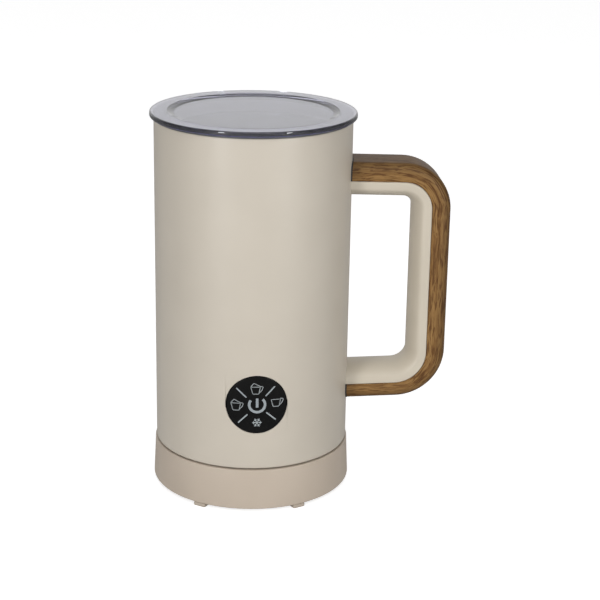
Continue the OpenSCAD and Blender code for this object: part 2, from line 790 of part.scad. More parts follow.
module handle_screws() {
    seat = sqrt(pow(body_in_r, 2) - pow(handle_head_r, 2)) - 0.05;
    color(STEEL) {
        handle_screw_holes(handle_screw_r, seat - 0.1, seat + handle_screw_l);
        handle_screw_holes(handle_head_r, seat - handle_head_h, seat);
    }
}

// ---------------------------------------------------------------- lid

module lid() {
    plate_z = lid_top - lid_dish_depth - lid_plate_t;
    color(CLEAR) rotate_extrude() polygon(concat(
        [[0, lid_top - lid_dish_depth], [dish_floor_r, lid_top - lid_dish_depth], [dish_r, lid_top]],
        arc([lid_r - lid_edge_r, lid_top - lid_edge_r], lid_edge_r, 90, 0),
        arc([lid_r - lid_edge_r, lid_rim_z + lid_edge_r], lid_edge_r, 0, -90),
        [[skirt_r, lid_rim_z], [skirt_r, lid_rim_z - lid_skirt_h],
         [skirt_r - skirt_t, lid_rim_z - lid_skirt_h], [skirt_r - skirt_t, plate_z], [0, plate_z]]
    ));
}

module lid_seal() {
    rib = 0.4;                              // how far the two ribs stand out of the band
    rib_h = 2;
    band_r = seal_out_r - rib;
    color(SILICONE) rotate_extrude() {
        translate([skirt_r, lid_seal_z]) square([band_r - skirt_r, lid_seal_h]);
        for (z = [lid_seal_z + 0.6, lid_seal_z + lid_seal_h - rib_h - 0.6]) translate([band_r - 0.1, z])
            polygon([[0, 0], [rib + 0.1, rib_h / 3], [rib + 0.1, rib_h * 2 / 3], [0, rib_h]]);
    }
}

// ---------------------------------------------------------------- drive

module motor_shaft() {
    color(STEEL) translate([0, 0, motor_z + 4]) cylinder(r = shaft_r, h = holder_z + 3.4 - motor_z - 4);
}

module magnet_holder() {
    color(BLACK) difference() {
        translate([0, 0, holder_z]) cylinder(r = holder_r, h = holder_h);
        translate([0, 0, holder_z - cut]) cylinder(r = shaft_bore_r, h = 3.5 + cut);
        around(4, magnet_pcd_r, 45) translate([0, 0, holder_z + holder_h - magnet_h - 0.2])
            cylinder(r = magnet_r + 0.02, h = magnet_h + cut);
    }
}

module drive_magnets() {
    color(MAGNET) around(4, magnet_pcd_r, 45)
        translate([0, 0, holder_z + holder_h - magnet_h - 0.2]) cylinder(r = magnet_r, h = magnet_h);
}

module whisk_hub() {
    boss = pivot_r + 2.4;
    top = cup_floor_z + pivot_h + 2;
    color(BLACK) difference() {
        rotate_extrude() polygon(concat(
            [[0, whisk_z]],
            arc([whisk_r - 0.8, whisk_z + 0.8], 0.8, -90, 0, 4),
            arc([whisk_r - 0.8, whisk_z + whisk_h - 0.8], 0.8, 0, 90, 4),
            arc([boss + 1.5, whisk_z + whisk_h + 1.5], 1.5, -90, -180, 4),
            arc([boss - 1.5, top - 1.5], 1.5, 0, 90, 4),
            [[0, top]]
        ));
        translate([0, 0, whisk_z - cut])
            cylinder(r = pivot_r + run_gap, h = cup_floor_z + pivot_h + 0.4 - whisk_z + cut);
        translate([0, 0, whisk_z - cut]) cylinder(r = pivot_r + 1.8, h = 0.6 + cut);
        around(4, magnet_pcd_r, 45)
            translate([0, 0, whisk_z - cut]) cylinder(r = magnet_r - 0.38, h = 2.6 + cut);
    }
}

module whisk_magnets() {
    color(MAGNET) around(4, magnet_pcd_r, 45)
        translate([0, 0, whisk_z + 0.2]) cylinder(r = magnet_r - 0.4, h = 2.3);
}

// A coil spring closed into a ring round the hub's rim
module whisk_spring() {
    per_turn = 8;
    sides = 4;
    rings = spring_turns * per_turn;
    points = [for (i = [0:rings - 1]) for (k = [0:sides - 1]) let (
        turn = 360 * i / rings,
        coil = 360 * i / per_turn,
        side = 360 * k / sides,
        reach = spring_coil_r + spring_wire_r * cos(side),
        r = spring_r + reach * cos(coil),
        s = spring_wire_r * sin(side)
    ) [r * cos(turn) - s * sin(turn), r * sin(turn) + s * cos(turn), whisk_mid_z + reach * sin(coil)]];
    faces = [for (i = [0:rings - 1]) for (k = [0:sides - 1]) let (
        a = i * sides, b = ((i + 1) % rings) * sides, l = (k + 1) % sides
    ) each [[a + k, a + l, b + l], [a + k, b + l, b + k]]];
    color(STEEL) polyhedron(points = points, faces = faces);
}

base_shell();
base_bottom_plate();
base_feet();
base_screws();
cord_grommet();
base_connector();
base_contacts();
connector_screws();
outer_housing();
jug_bottom_cover();
cover_screws();
jug_connector();
jug_contacts();
jug_connector_screws();
inner_cup();
cup_rim_seal();
cup_studs();
stud_nuts();
whisk_pivot_pin();
heater_plate();
heater_element();
thermostat();
temperature_sensor();
thermal_fuse();
motor_bracket();
motor_can();
motor_screws();
control_board();
board_parts();
board_screws();
touch_board();
touch_springs();
touch_board_screws();
touch_panel();
handle_liner();
handle_grip();
handle_gaskets();
handle_screws();
lid();
lid_seal();
motor_shaft();
magnet_holder();
drive_magnets();
whisk_hub();
whisk_magnets();
whisk_spring();
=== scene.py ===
# %% [markdown]
# # An automatic milk frother
# A jug with a double wall stands on a round power base. Under the cup a motor turns a ring of
# magnets, and a whisk with magnets of its own follows it through the steel. The frame below holds
# every part at its real size and place, so this lesson only makes the parts that are seen, and
# finishes them all: first the camera and the light, then the materials, then piece after piece.

# %% Load the frame
import math

import bmesh
import bpy
import numpy
from mathutils import Euler, Matrix, Vector


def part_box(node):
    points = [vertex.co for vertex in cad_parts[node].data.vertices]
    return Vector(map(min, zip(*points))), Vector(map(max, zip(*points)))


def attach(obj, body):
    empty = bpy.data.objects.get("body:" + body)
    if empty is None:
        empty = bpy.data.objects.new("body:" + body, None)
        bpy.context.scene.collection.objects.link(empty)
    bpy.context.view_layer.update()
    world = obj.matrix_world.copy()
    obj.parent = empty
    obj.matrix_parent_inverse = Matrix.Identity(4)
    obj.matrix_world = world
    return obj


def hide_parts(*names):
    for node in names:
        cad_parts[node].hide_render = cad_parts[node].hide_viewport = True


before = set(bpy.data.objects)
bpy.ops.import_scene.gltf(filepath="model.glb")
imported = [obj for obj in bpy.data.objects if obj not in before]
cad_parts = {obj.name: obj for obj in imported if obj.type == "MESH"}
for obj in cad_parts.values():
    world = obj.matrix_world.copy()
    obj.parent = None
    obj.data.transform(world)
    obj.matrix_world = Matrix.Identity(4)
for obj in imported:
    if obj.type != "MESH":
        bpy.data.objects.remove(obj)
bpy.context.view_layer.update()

MM = 0.001


# %% [markdown]
# ## Sizes
# The frame gives each part's box, so the sizes are read there, in millimetres. What a box can't
# tell, such as a wall or a corner radius, is a named value beside the piece that it belongs to.

# %% Read the main sizes
def box_mm(node):
    """A part's lowest and highest corner, in mm."""
    low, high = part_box(node)
    return low / MM, high / MM


housing_low, housing_high = box_mm("outer_housing")
base_low, base_high = box_mm("base_shell")
lid_low, lid_high = box_mm("lid")
cup_low, cup_high = box_mm("inner_cup")
panel_low, panel_high = box_mm("touch_panel")
grip_low, grip_high = box_mm("handle_grip")
body_r = -housing_low.x
print("housing radius", round(body_r, 2), "and top", round(housing_high.z, 2),
      "lid's top", round(lid_high.z, 2))

# %% [markdown]
# ## Camera
# A long lens from a little above the lid keeps the jug's sides nearly upright. The object is a
# small thing seen from 80 cm, so the lens is near 100 mm. Its turn is given as heading, pitch and
# roll, because those are the three movements of a tripod head.

# %% Place the camera
camera = bpy.data.objects.new("camera", bpy.data.cameras.new("camera"))
bpy.context.scene.collection.objects.link(camera)
heading, pitch, roll = 0.0834, 0.3207, 0.0175
turn = Euler((math.pi / 2 - pitch, 0, -heading)).to_matrix() @ Matrix.Rotation(roll, 3, "Z")
camera.matrix_world = Matrix.Translation((-0.0418, -0.7975, 0.36251)) @ turn.to_4x4()
camera.data.lens = 97.235
camera.data.sensor_width = 36
camera.data.clip_start = 0.01
bpy.context.scene.camera = camera
print("camera at", [round(v, 3) for v in camera.location])

# %% [markdown]
# ## Tools for materials
# Colours are written as the hex values that a paint card gives. The shader wants linear light, so
# one function turns them. One more adds a node, with its settings and what is plugged into it. The
# room's light is made with it too.

# %% Colour and node helpers
def linear(hex_colour):
    """An sRGB hex colour as linear RGBA."""
    parts = [int(hex_colour[i:i + 2], 16) / 255 for i in (1, 3, 5)]
    return [c / 12.92 if c <= 0.04045 else ((c + 0.055) / 1.055) ** 2.4 for c in parts] + [1]


def add(tree, kind, plugs=None, **settings):
    """Adds a node: settings are its own properties, plugs are values or links for its inputs."""
    made = tree.nodes.new("ShaderNode" + kind)
    for name, value in settings.items():
        setattr(made, name, value)
    for name, value in (plugs or {}).items():
        if isinstance(value, bpy.types.NodeSocket):
            tree.links.new(value, made.inputs[name])
        else:
            made.inputs[name].default_value = value
    return made


def start_material(name, **values):
    """A material with its shader's plain values set; returns it with its tree and shader."""
    material = bpy.data.materials.new(name)
    material.use_nodes = True
    shader = material.node_tree.nodes["Principled BSDF"]
    for socket, value in values.items():
        shader.inputs[socket.replace("_", " ")].default_value = value
    return material, material.node_tree, shader


def colours(ramp, *stops):
    """Sets a colour ramp's stops: (position, hex colour)."""
    band = ramp.color_ramp
    while len(band.elements) < len(stops):
        band.elements.new(0.5)
    for element, (position, colour) in zip(band.elements, stops):
        element.position = position
        element.color = linear(colour)
    return ramp


def moulded(name, low_colour, high_colour, roughness, grit_mm, depth_mm, **values):
    """Moulded or sprayed surface: the tone drifts a little over 25 mm, and a fine grit breaks
    the shine. Grit and depth are real sizes in mm."""
    material, tree, shader = start_material(name, Roughness=roughness, **values)
    place = add(tree, "TexCoord").outputs["Object"]
    drift = add(tree, "TexNoise", {"Vector": place, "Scale": 1 / (25 * MM), "Detail": 2})
    tone = colours(add(tree, "ValToRGB", {"Fac": drift.outputs["Fac"]}),
                   (0.3, low_colour), (0.7, high_colour))
    grit = add(tree, "TexNoise", {"Vector": place, "Scale": 1 / (grit_mm * MM), "Detail": 3})
    relief = add(tree, "Bump", {"Height": grit.outputs["Fac"], "Distance": depth_mm * MM})
    sheen = add(tree, "MapRange", {"Value": grit.outputs["Fac"],
                                   "To Min": roughness - 0.04, "To Max": roughness + 0.04})
    tree.links.new(tone.outputs["Color"], shader.inputs["Base Color"])
    tree.links.new(relief.outputs["Normal"], shader.inputs["Normal"])
    tree.links.new(sheen.outputs["Result"], shader.inputs["Roughness"])
    return material


# %% [markdown]
# ## Light
# Two tall soft boxes stand in front, left and right. On a round satin body each gives one soft
# upright band. The room is bright behind the object, which whitens the lid's mirror image, less so
# in front, and dim at the sides, so that the sides of the body fall off gently. The camera itself
# sees the room as plain white.

# %% Room, floor and soft boxes
scene = bpy.context.scene
scene.view_settings.view_transform = "Standard"
scene.view_settings.look = "None"
world = bpy.data.worlds.new("studio")
scene.world = world
world.use_nodes = True
air = world.node_tree
air.nodes.clear()
SEEN, SIDES, BEHIND, FRONT = 1.1, 0.23, 0.92, 0.56   # brightness: to the camera, and by direction
way = add(air, "TexCoord").outputs["Generated"]
depth = add(air, "SeparateXYZ", {0: way}).outputs["Y"]
strength = SIDES
for start, end, most in ((0.45, 0.92, BEHIND), (-0.3, -0.95, FRONT)):
    lobe = add(air, "MapRange", {"Value": depth, "From Min": start, "From Max": end, "To Max": most})
    strength = add(air, "Math", {0: lobe.outputs["Result"], 1: strength}).outputs[0]
room_light = add(air, "Background", {"Strength": strength})
seen_light = add(air, "Background", {"Strength": SEEN})
seen = add(air, "LightPath").outputs["Is Camera Ray"]
either = add(air, "MixShader", {0: seen, 1: room_light.outputs[0], 2: seen_light.outputs[0]})
add(air, "OutputWorld", {"Surface": either.outputs[0]})


def soft_box(name, azimuth, height, distance, width, tall, power):
    """A soft box that looks at the middle of the body. Azimuth 0 is straight in front."""
    lamp = bpy.data.objects.new(name, bpy.data.lights.new(name, "AREA"))
    scene.collection.objects.link(lamp)
    lamp.data.shape = "RECTANGLE"
    lamp.data.size, lamp.data.size_y, lamp.data.energy = width, tall, power
    side = math.radians(azimuth)
    place = Vector((distance * math.sin(side), -distance * math.cos(side), height))
    aim = (Vector((0, 0, 0.11)) - place).to_track_quat("-Z", "Y")
    lamp.matrix_world = Matrix.Translation(place) @ aim.to_matrix().to_4x4()
    return lamp


soft_box("left_soft_box", -37, 0.35, 1.2, 0.17, 1.1, 8.6)
soft_box("right_soft_box", 36, 0.35, 1.2, 0.15, 1.1, 6.8)
soft_box("top_soft_box", 0, 1.3, 0.5, 0.9, 0.9, 3.0)

# %% [markdown]
# ## Beige paint and beige ABS
# The housing is steel sprayed with a satin powder paint. Seen close it has a faint orange peel,
# drawn here a little coarser than it is so that it shows. The base, the feet and the handle's
# liner are ABS moulded in nearly the same beige, the base's a trace redder: flatter than the paint,
# with the fine spark texture of a mould.

# %% Beige finishes
satin_paint = moulded("satin_powder_paint", "#BBB3A6", "#BEB6A9", 0.36, 0.9, 0.004)
beige_abs = moulded("beige_abs_moulded", "#B3A697", "#B7AA9B", 0.46, 0.5, 0.006)
liner_abs = moulded("beige_abs_handle", "#BCB3A3", "#C0B7A7", 0.44, 0.5, 0.006)
print("made", satin_paint.name, beige_abs.name, liner_abs.name)

# %% [markdown]
# ## Oak grain
# The grip is a plastic shell with a printed oak film under satin lacquer. The grain runs along the
# handle and turns with it, so it can't come from plain coordinates: the grip carries an attribute
# called grain, which holds the distance along the handle, the place across it and the depth, in mm.
# Broad bands about 2.5 mm wide and 55 mm long are the growth rings, and dark flecks of about
# 0.7 by 10 mm are the pores. Towards the rounded outer face the colour is made darker: partly the
# film's own darker tone there, partly painted shade for the face that turns away from the light.

# %% Oak film
def oak_film():
    material, tree, shader = start_material("oak_film_under_lacquer", Roughness=0.42,
                                            Specular_IOR_Level=0.16)
    grain = add(tree, "Attribute", attribute_name="grain").outputs["Vector"]
    wander = add(tree, "TexNoise", {"Vector": grain, "Scale": 0.045, "Detail": 2})
    shift = add(tree, "VectorMath", {0: wander.outputs["Color"], 1: (0, 4.5, 4.5)},
                operation="MULTIPLY").outputs["Vector"]
    swayed = add(tree, "VectorMath", {0: grain, 1: shift}, operation="ADD").outputs["Vector"]
    long_rings = add(tree, "Mapping", {"Vector": swayed, "Scale": (0.018, 0.42, 0.42)})
    rings = add(tree, "TexNoise", {"Vector": long_rings.outputs["Vector"], "Scale": 1,
                                   "Detail": 5, "Roughness": 0.6, "Distortion": 0.5})
    tone = colours(add(tree, "ValToRGB", {"Fac": rings.outputs["Fac"]}),
                   (0.30, "#5C3F21"), (0.44, "#7C5B34"), (0.56, "#8D6C41"), (0.75, "#6B4A29"))
    slanted = add(tree, "Mapping", {"Vector": swayed, "Rotation": (0, 0, math.radians(7)),
                                    "Scale": (0.10, 1.45, 1.45)})
    pores = add(tree, "TexNoise", {"Vector": slanted.outputs["Vector"], "Scale": 1,
                                   "Detail": 3, "Roughness": 0.55})
    fleck = add(tree, "MapRange", {"Value": pores.outputs["Fac"], "From Min": 0.48, "From Max": 0.60,
                                   "To Min": 0.0, "To Max": 0.8})
    stained = add(tree, "MixRGB", {"Fac": fleck.outputs["Result"], "Color1": tone.outputs["Color"],
                                   "Color2": linear("#4F3118")})
    fibres = add(tree, "Mapping", {"Vector": swayed, "Scale": (0.12, 5.5, 5.5)})
    lines = add(tree, "TexNoise", {"Vector": fibres.outputs["Vector"], "Scale": 1, "Detail": 2})
    fine = add(tree, "MapRange", {"Value": lines.outputs["Fac"], "From Min": 0.3, "From Max": 0.7,
                                  "To Min": 0.86, "To Max": 1.1})
    final = add(tree, "VectorMath", {0: stained.outputs["Color"], 1: fine.outputs["Result"]},
                operation="MULTIPLY")
    # Darker towards the rounded outer face, down to 0.66: partly the film's own tone, partly painted
    # shade.
    parts = add(tree, "SeparateXYZ", {0: grain})
    film_tone_and_painted_shade = add(tree, "MapRange", {"Value": parts.outputs["Z"], "From Min": 3.0, "From Max": 8.5,
                                       "To Min": 1.0, "To Max": 0.66})
    final = add(tree, "VectorMath", {0: final.outputs["Vector"], 1: film_tone_and_painted_shade.outputs["Result"]},
                operation="MULTIPLY")
    relief = add(tree, "Bump", {"Height": fleck.outputs["Result"], "Distance": 0.03 * MM,
                                "Strength": 0.6}, invert=True)
    gloss = add(tree, "MapRange", {"Value": rings.outputs["Fac"], "To Min": 0.42, "To Max": 0.56})
    tree.links.new(final.outputs["Vector"], shader.inputs["Base Color"])
    tree.links.new(relief.outputs["Normal"], shader.inputs["Normal"])
    tree.links.new(gloss.outputs["Result"], shader.inputs["Roughness"])
    return material


oak = oak_film()
print("made", oak.name)

# %% [markdown]
# ## Clear styrene, lens and inks
# The lid is injection-moulded clear styrene. It is toned with a little violet so that it looks
# white and not yellow, and that tone only shows where one looks far through it, at the rim. So the
# surface is clear and the colour is in the volume, as absorption. The touch lens is acrylic printed
# black from behind, and its marks are pale grey ink.

# %% Clear lid
def clear_styrene():
    material, tree, shader = start_material("clear_styrene_moulded", Base_Color=linear("#E9E9F4"),
                                            Roughness=0.03, IOR=1.57, Transmission_Weight=0.98)
    body = add(tree, "VolumeAbsorption", {"Color": (0.66, 0.66, 0.88, 1), "Density": 40.0})
    tree.links.new(body.outputs["Volume"], tree.nodes["Material Output"].inputs["Volume"])
    place = add(tree, "TexCoord").outputs["Object"]
    flow = add(tree, "TexNoise", {"Vector": place, "Scale": 1 / (14 * MM), "Detail": 1})
    relief = add(tree, "Bump", {"Height": flow.outputs["Fac"], "Distance": 0.02 * MM})
    tree.links.new(relief.outputs["Normal"], shader.inputs["Normal"])
    return material


styrene = clear_styrene()
lens_black = moulded("acrylic_printed_black", "#0A0A0A", "#0D0D0D", 0.22, 6.0, 0.004, IOR=1.49,
                     Specular_IOR_Level=0.15)
grey_ink = moulded("pale_grey_ink", "#8B9296", "#9AA1A3", 0.5, 0.3, 0.004)
dim_ink = moulded("thin_grey_ink", "#7B8082", "#8C9193", 0.5, 0.3, 0.004)
print("made", styrene.name, lens_black.name, grey_ink.name)

# %% [markdown]
# ## Rubber, silicone and coated steel
# Rubber is nearly black and quite rough. Silicone is milky and lets a little light in. The cup is
# steel with a dark non-stick coat, baked on, with a fine pebble in it and a soft shine.

# %% Rubber, silicone, coating
black_rubber = moulded("black_rubber_moulded", "#1C1B1A", "#232221", 0.68, 0.4, 0.01)
pale_rubber = moulded("pale_rubber_moulded", "#A79B8D", "#AEA294", 0.62, 0.4, 0.01)
silicone = moulded("milky_silicone", "#CFCFCB", "#DADAD6", 0.45, 0.5, 0.006, Subsurface_Weight=0.25,
                   Subsurface_Radius=(0.004, 0.004, 0.004), Subsurface_Scale=1.0)
coating = moulded("non_stick_coating", "#4A4B4D", "#55565A", 0.34, 0.35, 0.01, IOR=1.45)
black_abs = moulded("black_abs_moulded", "#1A1A1B", "#222223", 0.45, 0.5, 0.008)
print("made", black_rubber.name, silicone.name, coating.name)

# %% [markdown]
# ## Metals and boards
# Rolled or drawn metal shows fine lines, so its roughness is stretched along one way. Each metal
# has its own colour and keeps the usual index. A circuit board is glass cloth in green lacquer.

# %% Metals and board
def drawn_metal(name, colour, roughness, line_mm):
    """Drawn or turned metal: thin upright lines in the roughness, line_mm apart."""
    material, tree, shader = start_material(name, Base_Color=linear(colour), Metallic=1.0)
    place = add(tree, "TexCoord").outputs["Object"]
    across = 1 / (line_mm * MM)
    lines = add(tree, "Mapping", {"Vector": place, "Scale": (across, across, 60)})
    brush = add(tree, "TexNoise", {"Vector": lines.outputs["Vector"], "Scale": 1, "Detail": 3})
    shine = add(tree, "MapRange", {"Value": brush.outputs["Fac"], "To Min": roughness - 0.08,
                                   "To Max": roughness + 0.1})
    relief = add(tree, "Bump", {"Height": brush.outputs["Fac"], "Distance": 0.004 * MM})
    tree.links.new(shine.outputs["Result"], shader.inputs["Roughness"])
    tree.links.new(relief.outputs["Normal"], shader.inputs["Normal"])
    return material


def lacquered_board():
    material, tree, shader = start_material("circuit_board_lacquer", Roughness=0.3, IOR=1.5)
    place = add(tree, "TexCoord").outputs["Object"]
    cloth = add(tree, "TexBrick", {"Vector": place, "Scale": 1 / (1.6 * MM), "Mortar Size": 0.1,
                                   "Color1": linear("#1F5A38"), "Color2": linear("#225F3C"),
                                   "Mortar": linear("#174A2D")})
    tree.links.new(cloth.outputs["Color"], shader.inputs["Base Color"])
    return material


steel = drawn_metal("stainless_steel_drawn", "#B9BABC", 0.28, 0.3)
brass = drawn_metal("brass_turned", "#C9A560", 0.25, 0.3)
aluminium = drawn_metal("aluminium_cast", "#B4B6B8", 0.42, 0.8)
nickel = drawn_metal("nickel_plated_magnet", "#9C9DA0", 0.2, 0.5)
board = lacquered_board()
print("made", steel.name, brass.name, aluminium.name, nickel.name, board.name)

# %% [markdown]
# ## Tools for modelling
# Most parts here are turned: an outline spun round the upright axis. The outline is drawn as
# one would by hand, a point pushed from corner to corner, each corner then rounded with a vertex
# bevel. Everything is deselected first, because an operator acts on all that is selected.

# %% Draw, round, spin
def nothing_selected():
    """Leaves edit mode and deselects everything, so that no operator reaches the frame's parts."""
    if bpy.context.view_layer.objects.active and bpy.context.mode != "OBJECT":
        bpy.ops.object.mode_set(mode="OBJECT")
    for thing in bpy.context.selected_objects:
        thing.select_set(False)


def edit(piece):
    """Makes the piece the only selected one, and enters edit mode."""
    nothing_selected()
    piece.select_set(True)
    bpy.context.view_layer.objects.active = piece
    bpy.ops.object.mode_set(mode="EDIT")


def select_points(piece, test):
    """Selects the points whose place, in mm, passes the test."""
    bpy.ops.mesh.select_mode(type="VERT")
    bpy.ops.mesh.select_all(action="DESELECT")
    shape = bmesh.from_edit_mesh(piece.data)
    found = [point for point in shape.verts if test(point.co / MM)]
    for point in found:
        point.select_set(True)
    shape.select_flush(True)
    bmesh.update_edit_mesh(piece.data)
    return len(found)


def at(x, z, y=0.0):
    """A test for select_points: the point is at this place."""
    return lambda p: abs(p.x - x) < 0.01 and abs(p.z - z) < 0.01 and abs(p.y - y) < 0.01


def draw(piece, outline, y=0.0, closed=False, steps=8):
    """Draws a line through (x, z, corner radius) points, in mm, in the plane at y."""
    bpy.ops.mesh.select_mode(type="VERT")
    bpy.ops.mesh.primitive_plane_add(size=MM)
    bpy.ops.mesh.merge(type="CENTER")
    bpy.ops.transform.translate(value=(outline[0][0] * MM, y * MM, outline[0][1] * MM))
    for here, there in zip(outline, outline[1:]):
        step = ((there[0] - here[0]) * MM, 0, (there[1] - here[1]) * MM)
        bpy.ops.mesh.extrude_region_move(TRANSFORM_OT_translate={"value": step})
    if closed:
        first, last = at(*outline[0][:2], y), at(*outline[-1][:2], y)
        select_points(piece, lambda p: first(p) or last(p))
        bpy.ops.mesh.edge_face_add()
    for i, (x, z, radius) in enumerate(outline):
        if radius and (closed or 0 < i < len(outline) - 1):
            before, after = outline[i - 1], outline[(i + 1) % len(outline)]
            bend = Vector((x - before[0], z - before[1])).angle(Vector((after[0] - x, after[1] - z)))
            select_points(piece, at(x, z, y))
            bpy.ops.mesh.bevel(offset=radius * math.tan(bend / 2) * MM, segments=steps,
                               affect="VERTICES", clamp_overlap=False)


def new_piece(name):
    """An empty mesh object, in edit mode."""
    nothing_selected()
    bpy.ops.mesh.primitive_plane_add(size=MM)
    piece = bpy.context.object
    piece.name = piece.data.name = name
    bpy.ops.object.mode_set(mode="EDIT")
    bpy.ops.mesh.delete(type="VERT")
    return piece


def close_up(piece, smooth_below=40):
    """Merges doubles, turns the faces outwards, and shades smooth across gentle angles."""
    bpy.ops.mesh.select_all(action="SELECT")
    bpy.ops.mesh.remove_doubles(threshold=0.002 * MM)
    bpy.ops.mesh.normals_make_consistent(inside=False)
    bpy.ops.object.mode_set(mode="OBJECT")
    bpy.ops.object.shade_smooth_by_angle(angle=math.radians(smooth_below))
    return piece


def turned(name, outline, closed=True, steps=6, around=256, smooth_below=40):
    """Spins an outline of (radius, height, corner radius), in mm, round the upright axis."""
    piece = new_piece(name)
    draw(piece, outline, closed=closed, steps=steps)
    bpy.ops.mesh.select_all(action="SELECT")
    bpy.ops.mesh.spin(steps=around, angle=math.radians(360), axis=(0, 0, 1), center=(0, 0, 0))
    return close_up(piece, smooth_below)


def apply_boolean(piece, cutter, operation="DIFFERENCE"):
    """Cuts or keeps with another object, which is then removed."""
    nothing_selected()
    piece.select_set(True)
    bpy.context.view_layer.objects.active = piece
    cut = piece.modifiers.new("cut", "BOOLEAN")
    cut.operation, cut.solver, cut.object = operation, "EXACT", cutter
    bpy.ops.object.modifier_apply(modifier="cut")
    bpy.data.objects.remove(cutter)
    return piece


def bar(radius, place, depth, along="Z", sides=96):
    """A round bar in mm, for cutting: its middle is at place."""
    nothing_selected()
    spin = {"Y": (math.pi / 2, 0, 0), "Z": (0, 0, 0)}[along]
    bpy.ops.mesh.primitive_cylinder_add(vertices=sides, radius=radius * MM, depth=depth * MM,
                                        location=Vector(place) * MM, rotation=spin)
    bpy.ops.object.transform_apply(location=True, rotation=True, scale=True)
    return bpy.context.object


def finish_piece(piece, material, body, slot, *nodes):
    """Gives a piece its material and its body, and hides the frame's parts that it stands for. The slot
    is not used.
    """
    piece.data.materials.clear()
    piece.data.materials.append(material)
    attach(piece, body)
    if nodes:
        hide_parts(*nodes)
    print(piece.name, len(piece.data.polygons), "faces")
    return piece


# %% [markdown]
# ## Floor
# A wide matt sheet, nearly white, that glows a little but only to the camera, so the floor looks
# white and throws no light up. It isn't part of the object.

# %% Floor
FLOOR_SIZE, GLOW = 6, 0.72                     # metres, and brightness
nothing_selected()
bpy.ops.mesh.primitive_plane_add(size=FLOOR_SIZE)
floor = bpy.context.object
floor.name = "floor"
paper = moulded("lit_white_paper", "#D8D8D8", "#DADADA", 0.9, 2.0, 0.01, Emission_Color=(1, 1, 1, 1))
sheet = paper.node_tree
seen = add(sheet, "LightPath").outputs["Is Camera Ray"]
glow = add(sheet, "Math", {0: seen, 1: GLOW}, operation="MULTIPLY").outputs[0]
sheet.links.new(glow, sheet.nodes["Principled BSDF"].inputs["Emission Strength"])
floor.data.materials.append(paper)
print("floor at z = 0")

# %% [markdown]
# ## The housing
# The outer skin is one drawn steel tube with a softly rolled edge at both ends. It could be made
# from a cylinder with a wall added, but an outline spun round the axis gives the rolled edges and
# the wall in one go. The round hole for the touch lens is then cut with a bar, and its edge is
# broken with a small bevel, as paint never covers a sharp edge. Rings above and below the hole keep
# the cut's long faces near it, so the shading of the tall wall stays even.

# %% Housing
WALL, HOLE_GAP, RING_GAP = 2.2, 0.15, 3.0
housing_in = body_r - WALL
panel_centre = (panel_low + panel_high) / 2
panel_r = (panel_high.x - panel_low.x) / 2
low, top = housing_low.z, housing_high.z
above_panel, below_panel = panel_centre.z + panel_r + RING_GAP, panel_centre.z - panel_r - RING_GAP
housing = turned("jug_housing", [
    (housing_in, low, 0.3), (body_r, low, 0.9), (body_r, low + RING_GAP, 0), (body_r, below_panel, 0),
    (body_r, above_panel, 0), (body_r, top - RING_GAP, 0), (body_r, top, 0.6), (housing_in, top, 0.3)],
    around=360)
apply_boolean(housing, bar(panel_r + HOLE_GAP, (0, -body_r, panel_centre.z), 12, "Y", sides=160))
edit(housing)


def on_hole_edge(p):
    """A test for select_points: the point is on the hole's outer edge."""
    across = math.hypot(p.x, p.z - panel_centre.z)
    return p.y < 0 and abs(across - panel_r - HOLE_GAP) < 0.02 and math.hypot(p.x, p.y) > body_r - 0.05


select_points(housing, on_hole_edge)
bpy.ops.mesh.bevel(offset=0.18 * MM, segments=2, affect="EDGES")
close_up(housing, 20)
finish_piece(housing, satin_paint, "jug", "beige_plastic", "outer_housing")

# %% [markdown]
# ## The base
# A shallow round case that flares towards the table. Its rim stands a little proud of the housing,
# with an open seam between them, and inside it a deck carries the power coupling's tower.

# %% Base case
BASE_WALL, DECK_DROP, DECK_T = 2.4, 4.0, 2.4
base_top_r = body_r + 0.6
rim_z, base_z, base_r = base_high.z, base_low.z, base_high.x
deck_z = rim_z - DECK_DROP
TOWER_R = 12.6
nest_r = housing_in - 0.1
base_case = turned("base_case", [
    (base_r - BASE_WALL, base_z, 0.3), (base_r, base_z, 0.9), (base_top_r, rim_z, 0.55),
    (nest_r, rim_z, 0.4), (nest_r, deck_z, 0.6), (TOWER_R + 0.15, deck_z, 0.3),
    (TOWER_R + 0.15, deck_z - DECK_T, 0.1), (base_top_r - BASE_WALL, deck_z - DECK_T, 0.5)], around=360)
inlet = (box_mm("cord_grommet")[0] + box_mm("cord_grommet")[1]) / 2
apply_boolean(base_case, bar(4.7, (0, inlet.y, inlet.z), 14, "Y"))
edit(base_case)
close_up(base_case, 35)
finish_piece(base_case, beige_abs, "base", "beige_plastic", "base_shell")

# %% [markdown]
# ## The lid
# A clear moulded plate with a shallow dish in its top and a skirt that reaches into the cup. The
# rim's edge is rounded, and the dish has a soft shoulder: those two curves make the bright and the
# dark lines that one sees in clear plastic, so they are modelled and not painted.

# %% Lid
RIM_T, DISH, DISH_R, DISH_FLOOR_R, PLATE_T = 2.55, 1.1, 43.3, 39.9, 2.0
lid_top, lid_r, skirt_low = lid_high.z, lid_high.x, lid_low.z
rim_under = lid_top - RIM_T
SKIRT_R, SKIRT_T = 42.6, 2.2
lid = turned("clear_lid", [
    (0, lid_top - DISH, 0), (DISH_FLOOR_R, lid_top - DISH, 0.6), (DISH_R, lid_top, 0.4),
    (lid_r, lid_top, 0.9), (lid_r, rim_under, 0.5), (SKIRT_R, rim_under, 0.4),
    (SKIRT_R, skirt_low, 0.5), (SKIRT_R - SKIRT_T, skirt_low, 0.5),
    (SKIRT_R - SKIRT_T, lid_top - DISH - PLATE_T, 0.8), (0, lid_top - DISH - PLATE_T, 0)],
    closed=False, steps=10, smooth_below=13)
flats = lid.modifiers.new("flats", "WEIGHTED_NORMAL")   # shades flats flat up to a rounded edge
flats.keep_sharp = True
bpy.ops.object.modifier_apply(modifier=flats.name)
finish_piece(lid, styrene, "lid", "clear_plastic", "lid")

